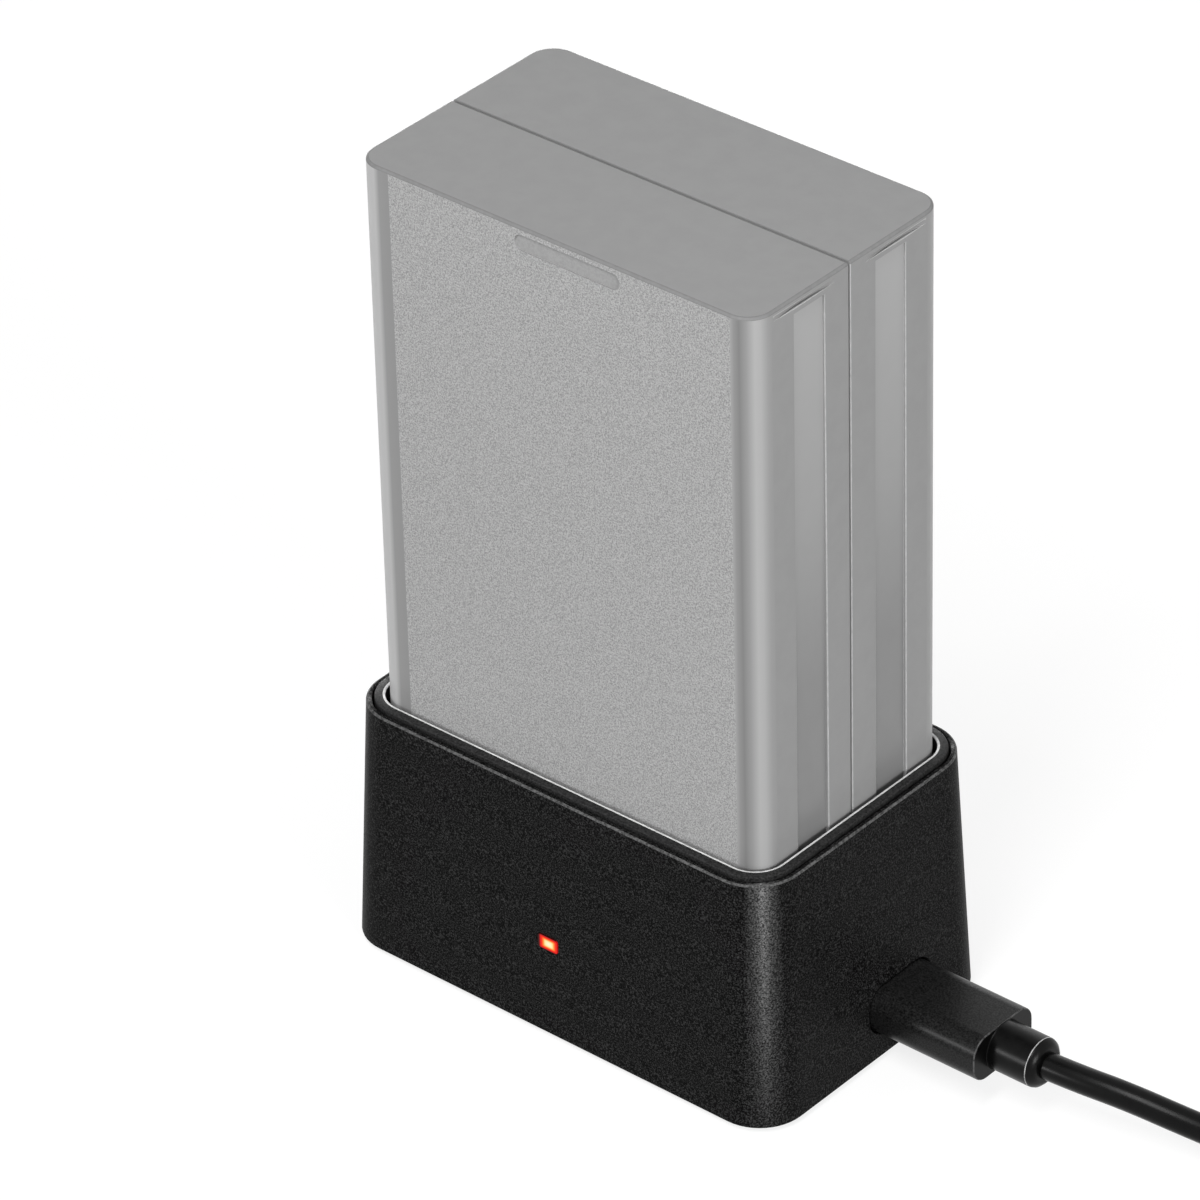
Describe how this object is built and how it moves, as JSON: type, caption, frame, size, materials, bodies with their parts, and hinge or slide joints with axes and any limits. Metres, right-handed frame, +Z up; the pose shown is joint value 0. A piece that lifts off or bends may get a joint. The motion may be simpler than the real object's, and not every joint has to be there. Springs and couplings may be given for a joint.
{
  "type": "flash battery charger",
  "caption": "Desk dock that charges a flash battery: tapered black housing with a rimmed well, indicator window, battery standing in the well and a USB lead plugged into the side.",
  "frame": {"origin": "middle of the dock on the surface it stands on, under its rubber feet", "axes": "+Z up; +X along the dock's long side, towards the USB socket; -Y towards the indicator window"},
  "size_m": [0.1776, 0.045, 0.0929],
  "materials": {
    "housing_plastic": "fine spark-eroded texture, black",
    "cradle_plastic": "fine texture with polished edges, black",
    "base_plastic": "fine texture, black",
    "battery_plastic": "fine texture, grey",
    "foot_rubber": "matt black rubber",
    "screw_steel": "zinc plated",
    "board_laminate": "green solder mask",
    "plated_metal": "nickel plated sheet",
    "moulded_insulator": "black glass-filled plastic",
    "white_insulator": "white moulded plastic",
    "indicator_lens": "red light, clear moulding",
    "chip_epoxy": "black epoxy",
    "ferrite": "dark grey ferrite",
    "ceramic": "tan ceramic",
    "contact_gold": "gold plated",
    "cell_wrap": "shrink wrap",
    "foam": "closed-cell foam",
    "plug_moulding": "satin black soft plastic",
    "cord_jacket": "glossy black jacket"
  },
  "bodies": {
    "root": {"outer_housing": "housing_plastic", "cradle": "cradle_plastic", "base_plate": "base_plastic", "case_screws": "screw_steel", "circuit_board": "board_laminate", "charge_controller": "chip_epoxy", "power_inductor": "ferrite", "input_capacitor": "ceramic", "output_capacitor": "ceramic", "light_pipe": "indicator_lens", "indicator_led": "white_insulator", "contact_block": "moulded_insulator", "usb_socket_shell": "plated_metal", "usb_socket_tongue": "moulded_insulator", "micro_plug_body": "plug_moulding", "micro_plug_shell": "plated_metal", "micro_plug_insulator": "moulded_insulator", "battery_front_shell": "battery_plastic", "battery_rear_shell": "battery_plastic", "protection_board": "board_laminate", "cell_holder": "moulded_insulator", "battery_cell_1": "cell_wrap", "battery_cell_2": "cell_wrap", "cell_link": "plated_metal", "cell_pad": "foam", "usb_cord": "cord_jacket", "cord_coil": "cord_jacket", "cable_tie": "plug_moulding", "a_plug_body": "plug_moulding", "a_plug_shell": "plated_metal", "a_plug_insulator": "white_insulator", "rubber_foot_1": "foot_rubber", "rubber_foot_2": "foot_rubber", "rubber_foot_3": "foot_rubber", "rubber_foot_4": "foot_rubber", "spring_contact_1": "contact_gold", "spring_contact_2": "contact_gold", "spring_contact_3": "contact_gold", "battery_terminal_1": "contact_gold", "battery_terminal_2": "contact_gold", "battery_terminal_3": "contact_gold", "a_plug_contact_1": "contact_gold", "a_plug_contact_2": "contact_gold", "a_plug_contact_3": "contact_gold", "a_plug_contact_4": "contact_gold"}
  },
  "joints": []
}
